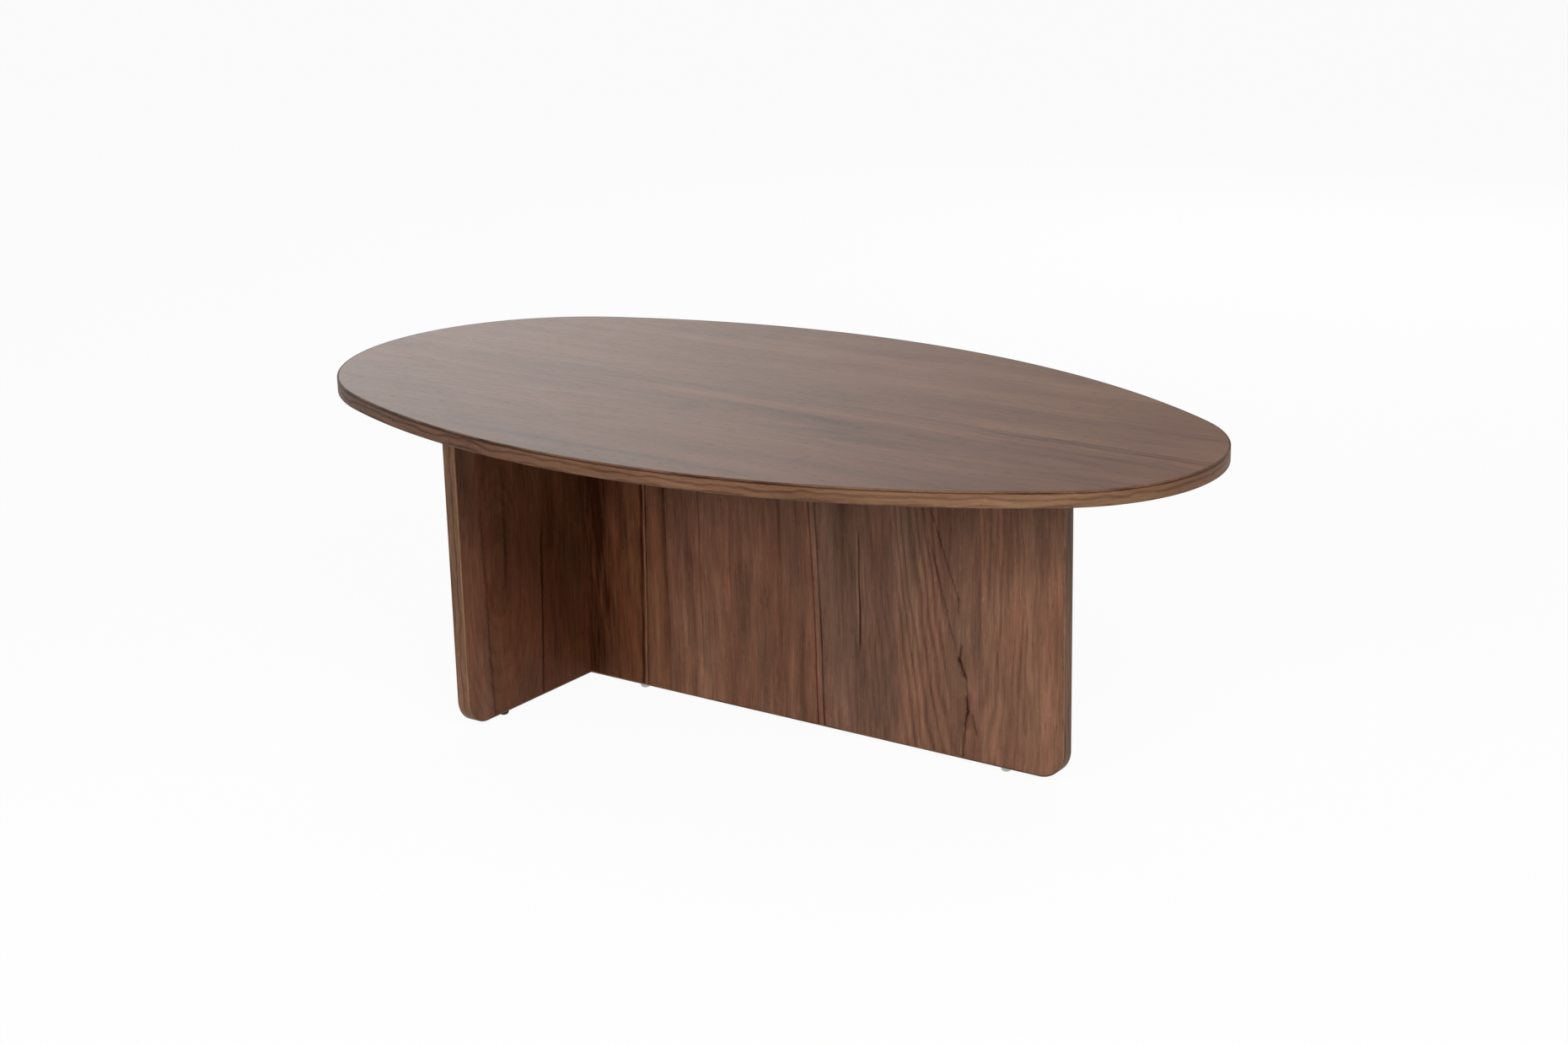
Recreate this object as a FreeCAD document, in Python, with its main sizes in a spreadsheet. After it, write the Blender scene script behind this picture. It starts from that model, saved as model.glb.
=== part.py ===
import FreeCAD, Part
import math
import os
import Sketcher
from FreeCAD import Placement, Rotation, Vector

# Coffee table: an egg-shaped board top on a T of two upright boards.
# Millimetres. +X runs from the broad end to the tip, +Z is up, and the floor is Z = 0.
# The origin is on the floor below the middle of the top's length and width.

SIZES = {
    # Egg-shaped top
    "table_height": 400,
    "top_length": 1160,
    "top_width": 650,
    "broad_end_radius": 266,
    "tip_radius": 199,
    "top_thickness": 18,
    # Upright boards: the cross board stands under the broad end, the spine butts its inner face
    "cross_setback": 305,
    "cross_length": 470,
    "cross_thickness": 18,
    "spine_length": 684,
    "spine_thickness": 18,
    "corner_radius": 32,
    # Edge banding, glued on
    "band_thickness": 2,
    "band_round": 1,
    "glue_line": 0.15,
    # Nailed glides under the uprights
    "foot_height": 6,
    "foot_diameter": 13,
    "foot_rim": 1.6,
    "foot_contact_diameter": 5,
    "spine_foot_inset": 80,
    "cross_foot_inset": 70,
    "nail_diameter": 2.4,
    "nail_length": 20,
    "nail_point": 4,
    "nail_seat": 3.5,
    "nail_clearance": 0.1,
    # Wooden dowels
    "dowel_diameter": 8,
    "dowel_length": 30,
    "dowel_chamfer": 1,
    "dowel_depth": 11.5,
    "dowel_clearance": 0.1,
    "bore_end_gap": 0.6,
    # Cam fittings: a nut turned in the upright grips a bolt screwed into the other board
    "cam_diameter": 15,
    "cam_depth": 12.8,
    "cam_setback_from_joint": 34,
    "cam_clearance": 0.1,
    "cam_slot_width": 7.6,
    "cam_slot_reach": 4.5,
    "driver_slot_length": 7,
    "driver_slot_width": 2,
    "driver_slot_depth": 2.4,
    "bolt_shank_diameter": 6.6,
    "bolt_head_diameter": 6.6,
    "bolt_head_length": 3,
    "bolt_neck_diameter": 4,
    "bolt_neck_length": 5,
    "bolt_thread_diameter": 5,
    "bolt_thread_length": 11,
    "bolt_bore_diameter": 8,
    "bolt_clearance": 0.1,
    "cap_diameter": 17.5,
    "cap_thickness": 1,
    "cap_round": 0.4,
    "cap_plug_depth": 2,
    "cap_plug_clearance": 0.15,
    # Where the fittings sit along each joint
    "spine_cam_inset": 120,
    "spine_cam_count": 3,
    "spine_dowel_inset": 60,
    "cross_cam_spread": 300,
    "cross_dowel_spread": 400,
    "joint_cam_low_inset": 90,
    "joint_cam_high_inset": 86,
    "joint_dowel_low_inset": 45,
    "joint_dowel_high_inset": 41,
}

PAIR_COUNT = 2

# Edges closer than this to a plane lie on it
TOUCH = 0.001

# Steps that close in on the side arcs' radius
HALVINGS = 100


class Size:
    """A number together with the sheet expression that works it out."""

    def __init__(self, text, value):
        self.text = text
        self.value = value

    def __add__(self, other):
        other = as_size(other)
        return Size(f"({self.text} + {other.text})", self.value + other.value)

    def __sub__(self, other):
        other = as_size(other)
        return Size(f"({self.text} - {other.text})", self.value - other.value)

    def __mul__(self, other):
        other = as_size(other)
        return Size(f"({self.text} * {other.text})", self.value * other.value)

    def __truediv__(self, other):
        other = as_size(other)
        return Size(f"({self.text} / {other.text})", self.value / other.value)

    def __neg__(self):
        return Size(f"(0 - {self.text})", -self.value)

    __rmul__ = __mul__


def as_size(thing):
    if isinstance(thing, Size):
        return thing
    return Size(f"({thing})", thing)


doc = FreeCAD.newDocument("coffee_table")
sheet = doc.addObject("Spreadsheet::Sheet", "Sizes")
for row, (alias, number) in enumerate(SIZES.items(), start=1):
    sheet.set(f"A{row}", alias)
    sheet.set(f"B{row}", str(number))
    sheet.setAlias(f"B{row}", alias)
doc.recompute()


def size(alias):
    return Size(f"Sizes.{alias}", SIZES[alias])


ZERO = as_size(0)
sub_parts = []


# Derived places, all in the table's frame

underside = size("table_height") - size("top_thickness")
panel_height = underside - size("foot_height")
cross_inner_face = size("cross_setback") - size("top_length") / 2
cross_middle = cross_inner_face - size("cross_thickness") / 2
band_and_glue = size("band_thickness") + size("glue_line")
spine_cam_span = size("spine_length") - 2 * size("spine_cam_inset")
spine_dowel_span = size("spine_length") - 2 * size("spine_dowel_inset")
spine_foot_span = size("spine_length") - 2 * size("spine_foot_inset")
cross_foot_span = size("cross_length") - 2 * size("cross_foot_inset")

# Levels of the fittings between the uprights, above the uprights' lower edge

joint_cam_levels = (size("joint_cam_low_inset"), panel_height - size("joint_cam_high_inset"))
joint_dowel_levels = (size("joint_dowel_low_inset"), panel_height - size("joint_dowel_high_inset"))

# Bores take the fitting's size and its clearance

dowel_bore = size("dowel_diameter") + 2 * size("dowel_clearance")
dowel_bore_in_mate = size("dowel_depth") + size("bore_end_gap")
dowel_bore_in_panel = size("dowel_length") - size("dowel_depth") + size("bore_end_gap")
thread_bore = size("bolt_thread_diameter") + 2 * size("bolt_clearance")
thread_bore_depth = size("bolt_thread_length") + size("bore_end_gap")
cam_bore = size("cam_diameter") + 2 * size("cam_clearance")
cam_bore_depth = size("cam_depth") + size("cam_clearance")
nail_bore = size("nail_diameter") + 2 * size("nail_clearance")
nail_bore_depth = size("nail_length") - size("nail_seat") + size("bore_end_gap")


# Drawing helpers


def new_body(label):
    body = doc.addObject("PartDesign::Body", label)
    body.Label = label
    body.AllowCompound = True
    sub_parts.append(body)
    return body


def origin_feature(body, role):
    return next(feature for feature in body.Origin.OriginFeatures if feature.Role == role)


def new_sketch(body, name, role, height=None):
    """A sketch on one of the body's own planes, lifted along the plane's normal by height."""
    sketch = body.newObject("Sketcher::SketchObject", name)
    sketch.AttachmentSupport = [(origin_feature(body, role), "")]
    sketch.MapMode = "FlatFace"
    if height is not None:
        sketch.setExpression("AttachmentOffset.Base.z", height.text)
    return sketch


def bind(sketch, kind, *args):
    """Adds a dimension whose last argument is a Size, and ties it to the sheet."""
    *geometry, length = args
    index = sketch.addConstraint(Sketcher.Constraint(kind, *geometry, length.value))
    sketch.setExpression(f"Constraints[{index}]", length.text)


def bind_point(sketch, geometry, vertex, x, y):
    bind(sketch, "DistanceX", -1, 1, geometry, vertex, x)
    bind(sketch, "DistanceY", -1, 1, geometry, vertex, y)


def draw_circle(sketch, x, y, diameter):
    circle = Part.Circle(Vector(x.value, y.value, 0), Vector(0, 0, 1), diameter.value / 2)
    index = sketch.addGeometry(circle)
    bind_point(sketch, index, 3, x, y)
    bind(sketch, "Diameter", index, diameter)


def draw_polygon(sketch, points):
    """A closed outline of straight lines through points, each a pair of Sizes."""
    corners = [Vector(x.value, y.value, 0) for x, y in points]
    lines = []
    for start, end in zip(corners, corners[1:] + corners[:1]):
        lines.append(sketch.addGeometry(Part.LineSegment(start, end)))
    for line, following in zip(lines, lines[1:] + lines[:1]):
        sketch.addConstraint(Sketcher.Constraint("Coincident", line, 2, following, 1))
    for line, (x, y) in zip(lines, points):
        bind_point(sketch, line, 1, x, y)


def draw_rectangle(sketch, left, right, bottom, top):
    draw_polygon(sketch, [(left, bottom), (right, bottom), (right, top), (left, top)])


def draw_arc(sketch, centre_x, centre_y, radius, start, end):
    circle = Part.Circle(Vector(centre_x, centre_y, 0), Vector(0, 0, 1), radius)
    return sketch.addGeometry(Part.ArcOfCircle(circle, start, end))


def side_arc_radius(length, width, broad_radius, tip_radius):
    """The radius of the long side arcs that run tangent from the broad end to the tip."""
    half = width / 2

    def span(radius):
        broad_run = math.sqrt((half - broad_radius) * (2 * radius - broad_radius - half))
        tip_run = math.sqrt((half - tip_radius) * (2 * radius - tip_radius - half))
        return broad_run + tip_run

    low = half
    high = half
    while span(high) < length - broad_radius - tip_radius:
        high = 2 * high
    for _ in range(HALVINGS):
        middle = (low + high) / 2
        if span(middle) < length - broad_radius - tip_radius:
            low = middle
        else:
            high = middle
    return high


def draw_egg(sketch, inset):
    """Four tangent arcs: the tip, the two long sides and the broad end, all moved in by inset."""
    length = size("top_length") - 2 * inset
    half_width = size("top_width") / 2 - inset
    broad = size("broad_end_radius") - inset
    tip = size("tip_radius") - inset
    broad_x = broad - length / 2
    tip_x = length / 2 - tip
    side = side_arc_radius(length.value, 2 * half_width.value, broad.value, tip.value)
    drop = side - half_width.value
    side_x = broad_x.value + math.sqrt((side - broad.value) ** 2 - drop ** 2)
    tip_angle = math.atan2(drop, tip_x.value - side_x)
    broad_angle = math.atan2(drop, broad_x.value - side_x)
    tip_arc = draw_arc(sketch, tip_x.value, 0, tip.value, -tip_angle, tip_angle)
    left_side = draw_arc(sketch, side_x, -drop, side, tip_angle, broad_angle)
    broad_arc = draw_arc(sketch, broad_x.value, 0, broad.value, broad_angle, 2 * math.pi - broad_angle)
    right_side = draw_arc(sketch, side_x, drop, side, -broad_angle, -tip_angle)
    ring = [tip_arc, left_side, broad_arc, right_side]
    for arc, following in zip(ring, ring[1:] + ring[:1]):
        sketch.addConstraint(Sketcher.Constraint("Tangent", arc, 2, following, 1))
    sketch.addConstraint(Sketcher.Constraint("Equal", left_side, right_side))
    bind(sketch, "Radius", tip_arc, tip)
    bind(sketch, "Radius", broad_arc, broad)
    bind_point(sketch, tip_arc, 3, tip_x, ZERO)
    bind_point(sketch, broad_arc, 3, broad_x, ZERO)
    widest = sketch.addGeometry(Part.Point(Vector(side_x, half_width.value, 0)), True)
    sketch.addConstraint(Sketcher.Constraint("PointOnObject", widest, 1, left_side))
    sketch.addConstraint(Sketcher.Constraint("Vertical", widest, 1, left_side, 3))
    bind(sketch, "DistanceY", -1, 1, widest, 1, half_width)


def draw_upright(sketch, left, right, bottom, top, radius, round_left):
    """An upright board's outline, its lower right corner rounded and the left one if asked."""
    tie = sketch.addConstraint
    low_left = Vector(left.value, bottom.value, 0)
    low_right = Vector(right.value - radius.value, bottom.value, 0)
    end_foot = Vector(right.value, bottom.value + radius.value, 0)
    top_right = Vector(right.value, top.value, 0)
    top_left = Vector(left.value, top.value, 0)
    left_foot = low_left
    if round_left:
        low_left = Vector(left.value + radius.value, bottom.value, 0)
        left_foot = Vector(left.value, bottom.value + radius.value, 0)
    bottom_line = sketch.addGeometry(Part.LineSegment(low_left, low_right))
    right_arc = draw_arc(sketch, low_right.x, end_foot.y, radius.value, -math.pi / 2, 0)
    right_line = sketch.addGeometry(Part.LineSegment(end_foot, top_right))
    top_line = sketch.addGeometry(Part.LineSegment(top_right, top_left))
    left_line = sketch.addGeometry(Part.LineSegment(top_left, left_foot))
    tie(Sketcher.Constraint("Horizontal", bottom_line))
    tie(Sketcher.Constraint("Vertical", right_line))
    tie(Sketcher.Constraint("Horizontal", top_line))
    tie(Sketcher.Constraint("Vertical", left_line))
    tie(Sketcher.Constraint("Tangent", bottom_line, 2, right_arc, 1))
    tie(Sketcher.Constraint("Tangent", right_arc, 2, right_line, 1))
    tie(Sketcher.Constraint("Coincident", right_line, 2, top_line, 1))
    tie(Sketcher.Constraint("Coincident", top_line, 2, left_line, 1))
    if round_left:
        left_arc = draw_arc(sketch, low_left.x, left_foot.y, radius.value, math.pi, 1.5 * math.pi)
        tie(Sketcher.Constraint("Tangent", left_line, 2, left_arc, 1))
        tie(Sketcher.Constraint("Tangent", left_arc, 2, bottom_line, 1))
        tie(Sketcher.Constraint("Equal", left_arc, right_arc))
    else:
        tie(Sketcher.Constraint("Coincident", left_line, 2, bottom_line, 1))
    bind(sketch, "Radius", right_arc, radius)
    bind_point(sketch, top_line, 1, right, top)
    bind(sketch, "DistanceX", -1, 1, top_line, 2, left)
    bind(sketch, "DistanceY", -1, 1, bottom_line, 2, bottom)


# Feature helpers


def pad(body, sketch, length, both_ways=False):
    feature = body.newObject("PartDesign::Pad", "Pad")
    feature.Profile = sketch
    if both_ways:
        feature.SideType = "Symmetric"
    feature.setExpression("Length", length.text)
    doc.recompute()
    return feature


def pocket(body, sketch, depth, along_normal=False):
    """Cuts the sketch into the body, and stops the build if the cut removed nothing."""
    volume = body.Shape.Volume
    feature = body.newObject("PartDesign::Pocket", "Pocket")
    feature.Profile = sketch
    feature.Reversed = along_normal
    feature.setExpression("Length", depth.text)
    doc.recompute()
    if not body.Shape.Volume < volume:
        raise RuntimeError(f"{body.Label}: {sketch.Label} cuts nothing")
    return feature


def revolve(body, sketch, axis):
    feature = body.newObject("PartDesign::Revolution", "Revolution")
    feature.Profile = sketch
    feature.ReferenceAxis = (sketch, [axis])
    feature.Angle = 360
    doc.recompute()
    return feature


def fillet(body, base, radius, chosen):
    """Rounds the edges of base for which chosen(edge) is true."""
    names = [f"Edge{i}" for i, edge in enumerate(base.Shape.Edges, start=1) if chosen(edge)]
    feature = body.newObject("PartDesign::Fillet", "Fillet")
    feature.Base = (base, names)
    feature.setExpression("Radius", radius.text)
    doc.recompute()
    return feature


def repeat(body, features, span, count):
    """Copies features along the body's Y axis, the first to the last span apart."""
    pattern = body.newObject("PartDesign::LinearPattern", "Row")
    pattern.Originals = features
    pattern.Direction = (origin_feature(body, "Y_Axis"), [""])
    pattern.setExpression("Length", span.text)
    pattern.setExpression("Occurrences", count.text)
    body.Tip = pattern
    doc.recompute()


def place(body, x, y, z, rotation=None):
    body.Placement = Placement(Vector(), rotation or Rotation())
    for axis, distance in zip("xyz", (x, y, z)):
        body.setExpression(f"Placement.Base.{axis}", distance.text)


def lies_flat(edge):
    return edge.BoundBox.ZLength < TOUCH


# The three joints. In a fitting's own frame +X points through the joint face into the other
# board, +Y runs along the joint and +Z points out of the face that the fittings are set into.

UP = Vector(0, 0, 1)
ALONG = Vector(1, 0, 0)
ACROSS = Vector(0, 1, 0)

JOINTS = {
    "spine_top": {
        "rotation": Rotation(UP, ALONG, ACROSS, "XYZ"),
        "thickness": size("spine_thickness"),
        "cams": (cross_inner_face + size("spine_cam_inset"), ZERO, underside),
        "cam_span": spine_cam_span,
        "cam_count": size("spine_cam_count"),
        "dowels": (cross_inner_face + size("spine_dowel_inset"), ZERO, underside),
        "dowel_span": spine_dowel_span,
    },
    "cross_top": {
        "rotation": Rotation(UP, ACROSS, -ALONG, "XYZ"),
        "thickness": size("cross_thickness"),
        "cams": (cross_middle, -size("cross_cam_spread") / 2, underside),
        "cam_span": size("cross_cam_spread"),
        "cam_count": as_size(PAIR_COUNT),
        "dowels": (cross_middle, -size("cross_dowel_spread") / 2, underside),
        "dowel_span": size("cross_dowel_spread"),
    },
    "spine_cross": {
        "rotation": Rotation(-ALONG, UP, ACROSS, "XYZ"),
        "thickness": size("spine_thickness"),
        "cams": (cross_inner_face, ZERO, size("foot_height") + joint_cam_levels[0]),
        "cam_span": joint_cam_levels[1] - joint_cam_levels[0],
        "cam_count": as_size(PAIR_COUNT),
        "dowels": (cross_inner_face, ZERO, size("foot_height") + joint_dowel_levels[0]),
        "dowel_span": joint_dowel_levels[1] - joint_dowel_levels[0],
    },
}


def row_offsets(span, count):
    """Distances of the fittings of a row from its first one."""
    return [span * (i / (count - 1)) for i in range(count)]


def spine_cam_offsets():
    return row_offsets(spine_cam_span, SIZES["spine_cam_count"])


# Boards


def make_table_top():
    body = new_body("table_top")
    place(body, ZERO, ZERO, underside)
    outline = new_sketch(body, "TopOutline", "XY_Plane")
    draw_egg(outline, band_and_glue)
    pad(body, outline, size("top_thickness"))
    dowels = new_sketch(body, "TopDowelBores", "XY_Plane")
    bolts = new_sketch(body, "TopBoltBores", "XY_Plane")
    for offset in row_offsets(spine_dowel_span, PAIR_COUNT):
        draw_circle(dowels, cross_inner_face + size("spine_dowel_inset") + offset, ZERO, dowel_bore)
    for offset in spine_cam_offsets():
        draw_circle(bolts, cross_inner_face + size("spine_cam_inset") + offset, ZERO, thread_bore)
    for side in (-1, 1):
        draw_circle(dowels, cross_middle, side * size("cross_dowel_spread") / 2, dowel_bore)
        draw_circle(bolts, cross_middle, side * size("cross_cam_spread") / 2, thread_bore)
    pocket(body, dowels, dowel_bore_in_mate, along_normal=True)
    pocket(body, bolts, thread_bore_depth, along_normal=True)


def make_top_edge_band():
    body = new_body("top_edge_band")
    place(body, ZERO, ZERO, underside)
    outer = new_sketch(body, "BandOutside", "XY_Plane")
    draw_egg(outer, ZERO)
    strip = pad(body, outer, size("top_thickness"))
    fillet(body, strip, size("band_round"), lies_flat)
    inner = new_sketch(body, "BandInside", "XY_Plane")
    draw_egg(inner, size("band_thickness"))
    pocket(body, inner, size("top_thickness"), along_normal=True)


def make_spine_panel():
    body = new_body("spine_panel")
    place(body, cross_inner_face, ZERO, size("foot_height"))
    outline = new_sketch(body, "SpineOutline", "XZ_Plane")
    draw_upright(outline, ZERO, size("spine_length") - band_and_glue, band_and_glue, panel_height,
                 size("corner_radius") - band_and_glue, round_left=False)
    pad(body, outline, size("spine_thickness"), both_ways=True)

    edge_dowels = new_sketch(body, "SpineTopDowelBores", "XY_Plane", panel_height)
    for offset in row_offsets(spine_dowel_span, PAIR_COUNT):
        draw_circle(edge_dowels, size("spine_dowel_inset") + offset, ZERO, dowel_bore)
    pocket(body, edge_dowels, dowel_bore_in_panel)
    edge_bolts = new_sketch(body, "SpineTopBoltBores", "XY_Plane", panel_height)
    cams = new_sketch(body, "SpineCamBores", "XZ_Plane", -size("spine_thickness") / 2)
    for offset in spine_cam_offsets():
        along = size("spine_cam_inset") + offset
        draw_circle(edge_bolts, along, ZERO, size("bolt_bore_diameter"))
        draw_circle(cams, along, panel_height - size("cam_setback_from_joint"), cam_bore)
    pocket(body, edge_bolts, size("cam_setback_from_joint"))

    end_dowels = new_sketch(body, "SpineEndDowelBores", "YZ_Plane")
    end_bolts = new_sketch(body, "SpineEndBoltBores", "YZ_Plane")
    for level in joint_dowel_levels:
        draw_circle(end_dowels, ZERO, level, dowel_bore)
    for level in joint_cam_levels:
        draw_circle(end_bolts, ZERO, level, size("bolt_bore_diameter"))
        draw_circle(cams, size("cam_setback_from_joint"), level, cam_bore)
    pocket(body, end_dowels, dowel_bore_in_panel, along_normal=True)
    pocket(body, end_bolts, size("cam_setback_from_joint"), along_normal=True)
    pocket(body, cams, cam_bore_depth, along_normal=True)

    nails = new_sketch(body, "SpineNailBores", "XY_Plane")
    for offset in row_offsets(spine_foot_span, PAIR_COUNT):
        draw_circle(nails, size("spine_foot_inset") + offset, ZERO, nail_bore)
    pocket(body, nails, nail_bore_depth, along_normal=True)


def make_spine_edge_band():
    body = new_body("spine_edge_band")
    place(body, cross_inner_face, ZERO, size("foot_height"))
    outer = new_sketch(body, "SpineBandOutside", "XZ_Plane")
    draw_upright(outer, ZERO, size("spine_length"), ZERO, panel_height, size("corner_radius"),
                 round_left=False)
    strip = pad(body, outer, size("spine_thickness"), both_ways=True)

    def outer_arris(edge):
        on_face = edge.BoundBox.YLength < TOUCH
        at_joint = edge.BoundBox.XMax < TOUCH
        at_top = edge.BoundBox.ZMin > panel_height.value - TOUCH
        return on_face and not at_joint and not at_top

    fillet(body, strip, size("band_round"), outer_arris)
    inner = new_sketch(body, "SpineBandInside", "XZ_Plane", -size("spine_thickness") / 2)
    draw_upright(inner, ZERO, size("spine_length") - size("band_thickness"), size("band_thickness"),
                 panel_height, size("corner_radius") - size("band_thickness"), round_left=False)
    pocket(body, inner, size("spine_thickness"), along_normal=True)
    nails = new_sketch(body, "SpineBandNailHoles", "XY_Plane")
    for offset in row_offsets(spine_foot_span, PAIR_COUNT):
        draw_circle(nails, size("spine_foot_inset") + offset, ZERO, nail_bore)
    pocket(body, nails, band_and_glue, along_normal=True)


def make_cross_panel():
    body = new_body("cross_panel")
    place(body, cross_middle, ZERO, size("foot_height"))
    half_core = size("cross_length") / 2 - band_and_glue
    outline = new_sketch(body, "CrossOutline", "YZ_Plane")
    draw_upright(outline, -half_core, half_core, band_and_glue, panel_height,
                 size("corner_radius") - band_and_glue, round_left=True)
    pad(body, outline, size("cross_thickness"), both_ways=True)

    edge_dowels = new_sketch(body, "CrossTopDowelBores", "XY_Plane", panel_height)
    edge_bolts = new_sketch(body, "CrossTopBoltBores", "XY_Plane", panel_height)
    cams = new_sketch(body, "CrossCamBores", "YZ_Plane", -size("cross_thickness") / 2)
    nails = new_sketch(body, "CrossNailBores", "XY_Plane")
    for side in (-1, 1):
        cam_place = side * size("cross_cam_spread") / 2
        draw_circle(edge_dowels, ZERO, side * size("cross_dowel_spread") / 2, dowel_bore)
        draw_circle(edge_bolts, ZERO, cam_place, size("bolt_bore_diameter"))
        draw_circle(cams, cam_place, panel_height - size("cam_setback_from_joint"), cam_bore)
        draw_circle(nails, ZERO, side * cross_foot_span / 2, nail_bore)
    pocket(body, edge_dowels, dowel_bore_in_panel)
    pocket(body, edge_bolts, size("cam_setback_from_joint"))
    pocket(body, cams, cam_bore_depth, along_normal=True)
    pocket(body, nails, nail_bore_depth, along_normal=True)

    face_dowels = new_sketch(body, "CrossFaceDowelBores", "YZ_Plane", size("cross_thickness") / 2)
    face_bolts = new_sketch(body, "CrossFaceBoltBores", "YZ_Plane", size("cross_thickness") / 2)
    for level in joint_dowel_levels:
        draw_circle(face_dowels, ZERO, level, dowel_bore)
    for level in joint_cam_levels:
        draw_circle(face_bolts, ZERO, level, thread_bore)
    pocket(body, face_dowels, dowel_bore_in_mate)
    pocket(body, face_bolts, thread_bore_depth)


def make_cross_edge_band():
    body = new_body("cross_edge_band")
    place(body, cross_middle, ZERO, size("foot_height"))
    half = size("cross_length") / 2
    outer = new_sketch(body, "CrossBandOutside", "YZ_Plane")
    draw_upright(outer, -half, half, ZERO, panel_height, size("corner_radius"), round_left=True)
    strip = pad(body, outer, size("cross_thickness"), both_ways=True)

    def outer_arris(edge):
        on_face = edge.BoundBox.XLength < TOUCH
        at_top = edge.BoundBox.ZMin > panel_height.value - TOUCH
        return on_face and not at_top

    fillet(body, strip, size("band_round"), outer_arris)
    inner = new_sketch(body, "CrossBandInside", "YZ_Plane", -size("cross_thickness") / 2)
    half_inner = half - size("band_thickness")
    draw_upright(inner, -half_inner, half_inner, size("band_thickness"), panel_height,
                 size("corner_radius") - size("band_thickness"), round_left=True)
    pocket(body, inner, size("cross_thickness"), along_normal=True)
    nails = new_sketch(body, "CrossBandNailHoles", "XY_Plane")
    for side in (-1, 1):
        draw_circle(nails, ZERO, side * cross_foot_span / 2, nail_bore)
    pocket(body, nails, band_and_glue, along_normal=True)


# Fittings of one joint


def make_dowels(joint):
    body = new_body(f"{joint}_dowels")
    place(body, *JOINTS[joint]["dowels"], JOINTS[joint]["rotation"])
    profile = new_sketch(body, "DowelProfile", "XZ_Plane")
    front = size("dowel_depth")
    back = front - size("dowel_length")
    radius = size("dowel_diameter") / 2
    chamfer = size("dowel_chamfer")
    draw_polygon(profile, [(back, ZERO), (front, ZERO), (front, radius - chamfer), (front - chamfer, radius),
                           (back + chamfer, radius), (back, radius - chamfer)])
    dowel = revolve(body, profile, "H_Axis")
    repeat(body, [dowel], JOINTS[joint]["dowel_span"], as_size(PAIR_COUNT))


def make_cam_bolts(joint):
    """Head and neck inside the cam, a shank up to the joint face and a thread beyond it."""
    body = new_body(f"{joint}_cam_bolts")
    place(body, *JOINTS[joint]["cams"], JOINTS[joint]["rotation"])
    profile = new_sketch(body, "BoltProfile", "XZ_Plane")
    head_end = size("bolt_head_length") / 2 - size("cam_setback_from_joint")
    head_start = head_end - size("bolt_head_length")
    neck_end = head_end + size("bolt_neck_length")
    head = size("bolt_head_diameter") / 2
    neck = size("bolt_neck_diameter") / 2
    shank = size("bolt_shank_diameter") / 2
    thread = size("bolt_thread_diameter") / 2
    tip = size("bolt_thread_length")
    draw_polygon(profile, [(head_start, ZERO), (tip, ZERO), (tip, thread / 2), (tip - thread / 2, thread),
                           (ZERO, thread), (ZERO, shank), (neck_end, shank), (neck_end, neck),
                           (head_end, neck), (head_end, head), (head_start, head)])
    bolt = revolve(body, profile, "H_Axis")
    repeat(body, [bolt], JOINTS[joint]["cam_span"], JOINTS[joint]["cam_count"])


def draw_driver_cross(sketch, centre_x, arm_length, arm_width):
    """A plus shape for a cross-head driver, its centre on the sketch's X axis."""
    reach = arm_length / 2
    half = arm_width / 2
    right = centre_x + reach
    left = centre_x - reach
    draw_polygon(sketch, [(left, -half), (centre_x - half, -half), (centre_x - half, -reach),
                          (centre_x + half, -reach), (centre_x + half, -half), (right, -half),
                          (right, half), (centre_x + half, half), (centre_x + half, reach),
                          (centre_x - half, reach), (centre_x - half, half), (left, half)])


def make_cam_nuts(joint):
    body = new_body(f"{joint}_cam_nuts")
    place(body, *JOINTS[joint]["cams"], JOINTS[joint]["rotation"])
    face = JOINTS[joint]["thickness"] / 2
    axis_x = -size("cam_setback_from_joint")
    round_sketch = new_sketch(body, "CamRound", "XY_Plane", face - size("cam_depth"))
    draw_circle(round_sketch, axis_x, ZERO, size("cam_diameter"))
    features = [pad(body, round_sketch, size("cam_depth"))]
    slot = new_sketch(body, "BoltSlot", "XY_Plane", -size("cam_slot_width") / 2)
    draw_rectangle(slot, axis_x - size("cam_slot_reach"), axis_x + size("cam_diameter"),
                   -size("cam_slot_width") / 2, size("cam_slot_width") / 2)
    features.append(pocket(body, slot, size("cam_slot_width"), along_normal=True))
    driver = new_sketch(body, "DriverCross", "XY_Plane", face)
    draw_driver_cross(driver, axis_x, size("driver_slot_length"), size("driver_slot_width"))
    features.append(pocket(body, driver, size("driver_slot_depth")))
    repeat(body, features, JOINTS[joint]["cam_span"], JOINTS[joint]["cam_count"])


def make_cam_caps(joint):
    """A thin cover disc with a cross-shaped plug that presses into the cam's driver slot."""
    body = new_body(f"{joint}_cam_caps")
    place(body, *JOINTS[joint]["cams"], JOINTS[joint]["rotation"])
    face = JOINTS[joint]["thickness"] / 2
    axis_x = -size("cam_setback_from_joint")
    profile = new_sketch(body, "CapDisc", "XY_Plane", face)
    draw_circle(profile, axis_x, ZERO, size("cap_diameter"))
    disc = pad(body, profile, size("cap_thickness"))

    def outer_rim(edge):
        return lies_flat(edge) and edge.BoundBox.ZMin > face.value + TOUCH

    rounded = fillet(body, disc, size("cap_round"), outer_rim)
    plug = new_sketch(body, "CapPlug", "XY_Plane", face)
    gap = size("cap_plug_clearance")
    draw_driver_cross(plug, axis_x, size("driver_slot_length") - 2 * gap, size("driver_slot_width") - 2 * gap)
    plug_pad = pad(body, plug, size("cap_plug_depth"))
    plug_pad.Reversed = True
    doc.recompute()
    repeat(body, [disc, rounded, plug_pad], JOINTS[joint]["cam_span"], JOINTS[joint]["cam_count"])


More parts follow.
